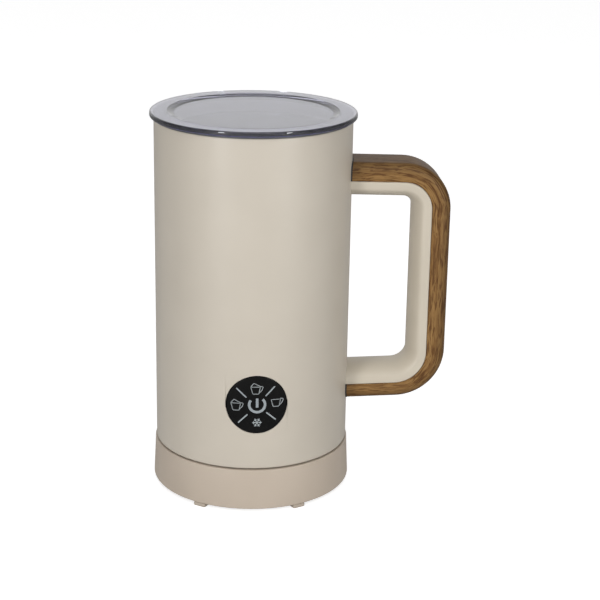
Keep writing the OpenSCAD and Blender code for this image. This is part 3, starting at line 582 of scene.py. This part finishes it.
# %% [markdown]
# ## The lid's seal
# A soft silicone band sits on the skirt, with two ribs that press on the cup's wall.

# %% Lid seal
seal_low, seal_high = box_mm("lid_seal")
RIB, FIT_GAP = 0.4, 0.02
RIB_HEIGHTS = ((0.6, False), (1.3, True), (1.9, True), (2.6, False))   # from an edge, and if it is full
seal_r, seal_in, z0, z1 = seal_high.x, SKIRT_R + FIT_GAP, seal_low.z, seal_high.z
band_r = seal_r - RIB
lower_rib = [(seal_r if full else band_r, z0 + up, 0.3 if full else 0.2) for up, full in RIB_HEIGHTS]
upper_rib = [(r, z0 + z1 - z, corner) for r, z, corner in reversed(lower_rib)]
lid_seal = turned("lid_seal_band", [
    (seal_in, z0, 0.2), (band_r, z0, 0.3), *lower_rib, *upper_rib, (band_r, z1, 0.3),
    (seal_in, z1, 0.2)], steps=3, around=192)
finish_piece(lid_seal, silicone, "lid", "silicone", "lid_seal")

# %% [markdown]
# ## The cup
# Deep-drawn steel, one millimetre thick, with a round corner at the floor and a rim that is turned
# out over the housing's edge: it is the thin dark line under the lid.

# %% Inner cup
CUP_T, CUP_CORNER, CUP_R = 1.0, 6.0, 44.8
floor_z, cup_top, cup_rim_r = cup_low.z + CUP_T, cup_high.z, cup_high.x
cup = turned("coated_cup", [
    (0, cup_low.z, 0), (CUP_R, cup_low.z, CUP_CORNER), (CUP_R, top, 0.3), (cup_rim_r, top, 0.2),
    (cup_rim_r, cup_top, 0.35), (CUP_R - CUP_T, cup_top, 1.0),
    (CUP_R - CUP_T, floor_z, CUP_CORNER - CUP_T), (0, floor_z, 0)], closed=False)
finish_piece(cup, coating, "jug", "cup_coating", "inner_cup")

# %% [markdown]
# ## The handle
# The handle is a D: two arms and an upright with rounded corners. Its path is drawn once as a
# rail, which can be offset outwards or inwards, and each edge of a part's section is one such
# rail. Neighbouring rails are bridged, as a boat's planks run from frame to frame. That keeps the
# faces in long clean strips, which a sweep along a curve would twist.

# %% Rails of the handle
SLOPE = math.radians(1.4)
UPRIGHT_T, TOP_ARM_T, LOW_ARM_T = 10.0, 9.4, 8.2
CORNER_TOP, CORNER_LOW = 14.5, 16.5
joint_x = grip_high.x - UPRIGHT_T
joint_top = grip_high.z - TOP_ARM_T / math.cos(SLOPE)
joint_low = grip_low.z + LOW_ARM_T / math.cos(SLOPE)
half_w = grip_high.y
rail_start = body_r - 6
handle_middle = (joint_top + joint_low) / 2


def rail(piece, arm_top, upright, arm_low, y):
    """One edge of the handle, offset outwards from the joint line by these amounts in mm."""
    x = joint_x + upright

    def upper(at_x):
        return joint_top + arm_top / math.cos(SLOPE) - (at_x - body_r) * math.tan(SLOPE)

    def lower(at_x):
        return joint_low - arm_low / math.cos(SLOPE) + (at_x - body_r) * math.tan(SLOPE)

    draw(piece, [(rail_start, upper(rail_start), 0),
                 (x, upper(x), CORNER_TOP + (arm_top + upright) / 2),
                 (x, lower(x), CORNER_LOW + (arm_low + upright) / 2),
                 (rail_start, lower(rail_start), 0)], y=y, steps=20)


def mark_loose_rail(piece, index, taken):
    """Puts the points that no earlier rail owns into the new rail's group."""
    shape = bmesh.from_edit_mesh(piece.data)
    layer = shape.verts.layers.deform.verify()
    for point in shape.verts:
        if not taken & set(point[layer].keys()):
            point[layer][index] = 1.0
    bmesh.update_edit_mesh(piece.data)


def bridged(name, rails):
    """Draws the rails, bridges each to the next, and closes the two ends."""
    piece = new_piece(name)
    for number, offsets in enumerate(rails):
        bpy.ops.mesh.select_all(action="DESELECT")
        rail(piece, *offsets)
        group = piece.vertex_groups.new(name=f"rail_{number}")
        taken = {g.index for g in piece.vertex_groups if g != group}
        mark_loose_rail(piece, group.index, taken)
    for number in range(len(rails)):
        bpy.ops.mesh.select_all(action="DESELECT")
        for index in (number, (number + 1) % len(rails)):
            piece.vertex_groups.active_index = index
            bpy.ops.object.vertex_group_select()
        bpy.ops.mesh.bridge_edge_loops()
    for side in (1, -1):
        select_points(piece, lambda p: p.x < rail_start + 0.01 and (p.z - handle_middle) * side > 0)
        bpy.ops.mesh.edge_face_add()
    return piece


WHOLE = 0.99   # a bevel's new points have a share of their neighbours' groups, and don't count


def select_rails(piece, *numbers):
    """Selects the edges that run along these rails."""
    bpy.ops.mesh.select_mode(type="EDGE")
    bpy.ops.mesh.select_all(action="DESELECT")
    shape = bmesh.from_edit_mesh(piece.data)
    layer = shape.verts.layers.deform.verify()
    for edge in shape.edges:
        for number in numbers:
            if all(point[layer].get(number, 0) > WHOLE for point in edge.verts):
                edge.select_set(True)
    bmesh.update_edit_mesh(piece.data)


# %% [markdown]
# ## The grip
# Four rails make a square band. Its two outer edges get a wide bevel, which is the round back that
# lies in the hand, and its inner edges a hair's breadth, which draws the joint line. The end is
# cut by the housing's own cylinder, one gasket's thickness outside it.

# %% Grip
GASKET_T, GRIP_EDGE, JOINT_GAP, CUT_LENGTH = 0.7, 4.3, 0.15, 240
inner, outer = (JOINT_GAP,) * 3, (TOP_ARM_T, UPRIGHT_T, LOW_ARM_T)
grip = bridged("wood_look_grip", [
    (*inner, -half_w), (*outer, -half_w), (*outer, half_w), (*inner, half_w)])
select_rails(grip, 0, 3)
bpy.ops.mesh.bevel(offset=0.25 * MM, segments=2, affect="EDGES", clamp_overlap=False)
select_rails(grip, 1, 2)
bpy.ops.mesh.bevel(offset=GRIP_EDGE * MM, segments=10, affect="EDGES", clamp_overlap=False)
close_up(grip, 40)
apply_boolean(grip, bar(body_r + GASKET_T, (0, 0, handle_middle), CUT_LENGTH, sides=256))
edit(grip)
close_up(grip, 40)


MID_DEPTH, TURN = 5, 30                        # half the grip's thickness, and a corner's length


def lay_grain(piece):
    """Writes the grain attribute: distance along the handle, place across it, depth, in mm."""
    places = numpy.zeros(len(piece.data.vertices) * 3)
    piece.data.vertices.foreach_get("co", places)
    places = places.reshape(-1, 3) / MM
    rise = (joint_x - body_r) * math.tan(SLOPE)
    up_x, up_z = joint_x - CORNER_TOP, joint_top - rise - CORNER_TOP
    low_x, low_z = joint_x - CORNER_LOW, joint_low + rise + CORNER_LOW
    grain = numpy.zeros_like(places)
    for i, (x, y, z) in enumerate(places):
        if z > up_z:
            angle = math.atan2(max(x - up_x, 0), z - up_z)
            along = min(x, up_x) + angle * (CORNER_TOP + MID_DEPTH)
            depth = math.hypot(max(x - up_x, 0), z - up_z)
        elif z < low_z:
            angle = math.atan2(low_z - z, max(x - low_x, 0)) if x > low_x else math.pi / 2
            along = (up_x + TURN + (up_z - low_z) + angle * (CORNER_LOW + MID_DEPTH)
                     + max(low_x - x, 0))
            depth = math.hypot(max(x - low_x, 0), z - low_z) - CORNER_LOW + CORNER_TOP
        else:
            along, depth = up_x + TURN + (up_z - z), x - up_x
        grain[i] = along, y, depth - CORNER_TOP
    store = piece.data.attributes.new("grain", "FLOAT_VECTOR", "POINT")
    store.data.foreach_set("vector", grain.reshape(-1))


lay_grain(grip)
finish_piece(grip, oak, "jug", "wood_look", "handle_grip")

# %% [markdown]
# ## The liner
# The beige inner half of the handle has a flat side strip and then rounds softly over to its
# inner face. The rounding is seven rails on each side, on a quarter of a long ellipse.

# %% Liner
LINER_T, STRIP, CHAMFER, CROWN_STEPS = 9.0, 3.7, 0.35, 7
flat = [(0.0, half_w - CHAMFER), (-CHAMFER, half_w), (-STRIP, half_w)]
crown = []
for i in range(1, CROWN_STEPS + 1):
    sweep_angle = i / CROWN_STEPS * math.pi / 2
    crown.append((-STRIP - (LINER_T - STRIP) * math.sin(sweep_angle) ** 1.3,
                  half_w - (half_w - 1) * (1 - math.cos(sweep_angle)) ** 0.95))
side = flat + crown
section = [(n, n, n, y) for n, y in side] + [(n, n, n, -y) for n, y in reversed(side)]
liner = bridged("handle_liner_shell", section)
close_up(liner, 35)
apply_boolean(liner, bar(body_r, (0, 0, handle_middle), CUT_LENGTH, sides=256))
edit(liner)
close_up(liner, 35)
finish_piece(liner, liner_abs, "jug", "beige_plastic", "handle_liner")

# %% [markdown]
# ## The touch lens
# A round window of acrylic that follows the housing's curve. A flat bar is kept only where it
# meets the curve of the housing, and its front edge is polished round.

# %% Touch lens
lens = bar(panel_r, (0, panel_low.y + 3, panel_centre.z), 10, "Y", sides=160)
lens.name = lens.data.name = "touch_lens"
lens_out, LENS_T = -panel_low.y, 1.25
apply_boolean(lens, bar(lens_out, (0, 0, panel_centre.z), 60, sides=720), "INTERSECT")
apply_boolean(lens, bar(lens_out - LENS_T, (0, 0, panel_centre.z), 60, sides=720))
edit(lens)


def on_lens_front_edge(p):
    """A test for select_points: the point is on the lens's front edge."""
    return (abs(math.hypot(p.x, p.z - panel_centre.z) - panel_r) < 0.02
            and math.hypot(p.x, p.y) > lens_out - 0.03)


select_points(lens, on_lens_front_edge)
bpy.ops.mesh.bevel(offset=0.3 * MM, segments=3, affect="EDGES")
close_up(lens, 30)
finish_piece(lens, lens_black, "jug", "panel_glass", "touch_panel")

# %% [markdown]
# ## The printed marks
# The marks are plain signs: on and off, two cups with foam, one without, and a snowflake for cold.
# Each stroke is a drawn line that is made a thin tube, pressed flat, and laid on the lens.

# %% Strokes
def stroke(lines, width):
    """Draws lines of (right, up) points in mm, and gives them this width. Returns the object."""
    piece = new_piece("stroke")
    for line in lines:
        ring = line[0] == line[-1]
        draw(piece, [(x, z, 0) for x, z in (line[:-1] if ring else line)], closed=ring)
    bpy.ops.mesh.select_all(action="SELECT")
    bpy.ops.mesh.subdivide(number_cuts=5)
    bpy.ops.object.mode_set(mode="OBJECT")
    bpy.ops.object.convert(target="CURVE")
    piece = bpy.context.object
    piece.data.bevel_depth = width / 2 * MM
    piece.data.bevel_resolution = 2
    piece.data.use_fill_caps = True
    bpy.ops.object.convert(target="MESH")
    piece = bpy.context.object
    edit(piece)
    return close_up(piece)


def lay_on_lens(piece, flatten=0.08):
    """Presses the strokes flat and lays them on the lens's curve, half sunk in."""
    for point in piece.data.vertices:
        x, y, z = point.co / MM
        front = -math.sqrt(lens_out ** 2 - x * x)
        point.co = Vector((x, front + y * flatten, z + panel_centre.z)) * MM


def arc(centre, radius, start, end, count):
    """Points on a circle, angles in degrees from straight up, clockwise."""
    steps = [math.radians(start + (end - start) * i / count) for i in range(count + 1)]
    return [(centre[0] + radius * math.sin(a), centre[1] + radius * math.cos(a)) for a in steps]


# %% Power mark, dividers, cups and snowflake
power = stroke([arc((0.2, 0.15), 3.95, 44, 306, 28), [(0.2, 3.5), (0.2, -1.3)]], 1.3)
dividers = stroke([[(-10.1, 8.9), (-5.15, 4.0)], [(9.0, 9.6), (4.4, 4.65)],
                   [(-9.2, -9.6), (-4.6, -5.0)], [(4.8, -4.05), (9.6, -8.2)]], 0.68)


def cup_sign(right, up, foam):
    """A cup's outline with its handle, and a peak of foam if there is one."""
    bowl = [(-3.0, 1.0), (-2.1, -2.4), (-1.7, -2.75), (0.7, -2.75), (1.1, -2.4), (1.75, 0.95),
            (-3.0, 1.0)]
    ear = [(1.65, 1.35), (2.9, 1.1), (3.1, 0.7), (2.6, -0.7), (1.2, -2.2)]
    lines = [bowl, ear]
    if foam:
        lines.append([(-3.0, 1.0), (-1.75, 2.75), (-1.3, 2.9), (1.65, 1.35)])
    return [[(x + right, z + up) for x, z in line] for line in lines]


cups = stroke(cup_sign(0, 8.6, True) + cup_sign(-9.8, -0.15, True) + cup_sign(10.2, 1.6, False), 0.42)
def toward(start, angle, length):
    """The point that lies this far from start, at this angle."""
    return start[0] + length * math.cos(angle), start[1] + length * math.sin(angle)


FLAKE, ARM, TWIG_AT, TWIG, LEAN = (0.2, -9.4), 2.4, 1.1, 1.0, 0.62
flake = [[toward(FLAKE, a, ARM), toward(FLAKE, a, -ARM)] for a in (0, math.pi / 3, 2 * math.pi / 3)]
for spoke in range(6):
    a = spoke * math.pi / 3
    inner = toward(FLAKE, a, TWIG_AT)
    flake += [[inner, toward(inner, a + lean, TWIG)] for lean in (-LEAN, LEAN)]
snow = stroke(flake, 0.38)
for piece, name, ink in ((power, "mark_power", grey_ink), (dividers, "mark_dividers", grey_ink),
                         (cups, "mark_cups", dim_ink), (snow, "mark_snowflake", grey_ink)):
    piece.name = piece.data.name = name
    lay_on_lens(piece)
    finish_piece(piece, ink, "jug", "panel_glass")

# %% [markdown]
# ## The feet
# Six small rubber blocks under the base. One is modelled, with all its edges rounded, and the
# others are copies with their own mesh.

# %% Feet
feet_low, feet_high = box_mm("base_feet")
FOOT_COUNT, FOOT_FIRST, FOOT_DEPTH, FOOT_W = 6, -124, 5.4, 6.6
foot_ring = base_r - 0.4 - FOOT_DEPTH / 2
nothing_selected()
bpy.ops.mesh.primitive_cube_add(size=MM, location=(foot_ring * MM, 0, base_z / 2 * MM),
                                scale=(FOOT_DEPTH, FOOT_W, base_z))
bpy.ops.object.transform_apply(location=True, rotation=True, scale=True)
foot = bpy.context.object
edit(foot)
select_points(foot, lambda p: True)
bpy.ops.mesh.bevel(offset=0.5 * MM, segments=3, affect="EDGES")
close_up(foot, 60)
feet = []
for number in range(FOOT_COUNT):
    copy = foot.copy()
    copy.data = foot.data.copy()
    scene.collection.objects.link(copy)
    spun = Matrix.Rotation(math.radians(FOOT_FIRST + number * 360 / FOOT_COUNT), 4, "Z")
    copy.data.transform(spun)
    feet.append(copy)
bpy.data.objects.remove(foot)
nothing_selected()
for copy in feet:
    copy.select_set(True)
bpy.context.view_layer.objects.active = feet[0]
bpy.ops.object.join()
feet[0].name = feet[0].data.name = "rubber_feet"
finish_piece(feet[0], pale_rubber, "base", "beige_plastic", "base_feet")

# %% [markdown]
# ## The power tower
# In the middle of the base's deck stands the tower that the jug's socket drops onto. The live
# contacts lie deep in a ring slot, out of reach of a finger, and the earth contact is in the centre.

# %% Tower
connector_low, connector_high = box_mm("base_connector")
SLOT_IN, SLOT_OUT, EARTH_R, EARTH_DEPTH = 6.2, 9.0, 2.6, 4.0
FLANGE_W, FLANGE_T = 8.0, 3.0
slot_floor, tower_top = deck_z - 3, connector_high.z
flange_z, flange_r = deck_z - DECK_T - FLANGE_T, TOWER_R + FLANGE_W
tower = turned("coupling_tower", [
    (0, slot_floor - EARTH_DEPTH, 0), (EARTH_R, slot_floor - EARTH_DEPTH, 0), (EARTH_R, tower_top, 0.4),
    (SLOT_IN, tower_top, 0.4), (SLOT_IN, slot_floor, 0), (SLOT_OUT, slot_floor, 0),
    (SLOT_OUT, tower_top, 0.4), (TOWER_R, tower_top, 0.9), (TOWER_R, flange_z + FLANGE_T, 0),
    (flange_r, flange_z + FLANGE_T, 0.4), (flange_r, flange_z, 0.4), (TOWER_R, flange_z, 0),
    (TOWER_R, connector_low.z, 0.4), (0, connector_low.z, 0)], closed=False, around=160, steps=4)
finish_piece(tower, black_abs, "base", "black_plastic", "base_connector")

# %% [markdown]
# ## The whisk
# A coil spring bent into a ring round a small hub: it is what beats the milk. The hub is turned,
# and the spring is a line of points on a coil, made a round wire.

# %% Whisk hub
hub_low, hub_high = box_mm("whisk_hub")
hub_r = hub_high.x
BOSS_R, BORE_R, RECESS_R = 4.0, 1.65, 3.4       # the bore runs on the pin with 0.05 mm to spare
hub_top, bore_top, recess_top = hub_low.z + 5, hub_high.z - 1.6, hub_low.z + 0.6
hub = turned("whisk_hub_body", [
    (0, bore_top, 0), (BORE_R, bore_top, 0), (BORE_R, recess_top, 0), (RECESS_R, recess_top, 0),
    (RECESS_R, hub_low.z, 0), (hub_r, hub_low.z, 0.8), (hub_r, hub_top, 1.0),
    (BOSS_R + 0.4, hub_top, 1.5), (BOSS_R, hub_high.z, 1.5), (0, hub_high.z, 0)],
    closed=False, around=128)
finish_piece(hub, black_abs, "whisk", "black_plastic", "whisk_hub")

# %% Whisk spring
spring_low, spring_high = box_mm("whisk_spring")
WIRE_R, COIL_R, TURNS, PER_TURN = 0.45, 2.2, 56, 16
spring_ring = spring_high.x - COIL_R - WIRE_R
spring_z = (spring_low.z + spring_high.z) / 2
coil = bpy.data.curves.new("whisk_spring_wire", "CURVE")
coil.dimensions = "3D"
line = coil.splines.new("POLY")
line.points.add(TURNS * PER_TURN - 1)
for i, point in enumerate(line.points):
    a, b = 2 * math.pi * i / (TURNS * PER_TURN), 2 * math.pi * i / PER_TURN
    reach = spring_ring + COIL_R * math.cos(b)
    place = Vector((reach * math.cos(a), reach * math.sin(a), spring_z + COIL_R * math.sin(b)))
    point.co = (*place * MM, 1)
line.use_cyclic_u = True
coil.bevel_depth, coil.bevel_resolution = WIRE_R * MM, 2
spring = bpy.data.objects.new("whisk_spring_wire", coil)
scene.collection.objects.link(spring)
nothing_selected()
spring.select_set(True)
bpy.context.view_layer.objects.active = spring
bpy.ops.object.convert(target="MESH")
spring = bpy.context.object
bpy.ops.object.shade_smooth()
finish_piece(spring, steel, "whisk", "steel", "whisk_spring")

# %% [markdown]
# ## The parts inside
# The frame's own parts are the right shape for everything that stays inside: screws, motor, boards,
# heater. Each keeps its mesh and gets the finish of its real material.

# %% Finish the carried-over parts
finishes = {
    beige_abs: ["base_bottom_plate", "jug_bottom_cover"],
    black_rubber: ["cord_grommet", "handle_gaskets"],
    silicone: ["cup_rim_seal"],
    black_abs: ["jug_connector", "board_parts", "magnet_holder"],
    brass: ["base_contacts", "jug_contacts", "temperature_sensor"],
    aluminium: ["heater_plate"],
    board: ["control_board", "touch_board"],
    nickel: ["drive_magnets", "whisk_magnets"],
    steel: ["base_screws", "connector_screws", "cover_screws", "jug_connector_screws", "cup_studs",
            "stud_nuts", "whisk_pivot_pin", "heater_element", "thermostat", "thermal_fuse",
            "motor_bracket", "motor_can", "motor_screws", "board_screws", "touch_springs",
            "touch_board_screws", "handle_screws", "motor_shaft"],
}
for material, nodes in finishes.items():
    for name in nodes:
        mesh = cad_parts[name].data
        mesh.materials.clear()
        mesh.materials.append(material)
left_over = [n for n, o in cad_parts.items()
             if not o.hide_render and n not in sum(finishes.values(), [])]
print("parts without a finish:", left_over)

# %% Leave nothing selected
nothing_selected()
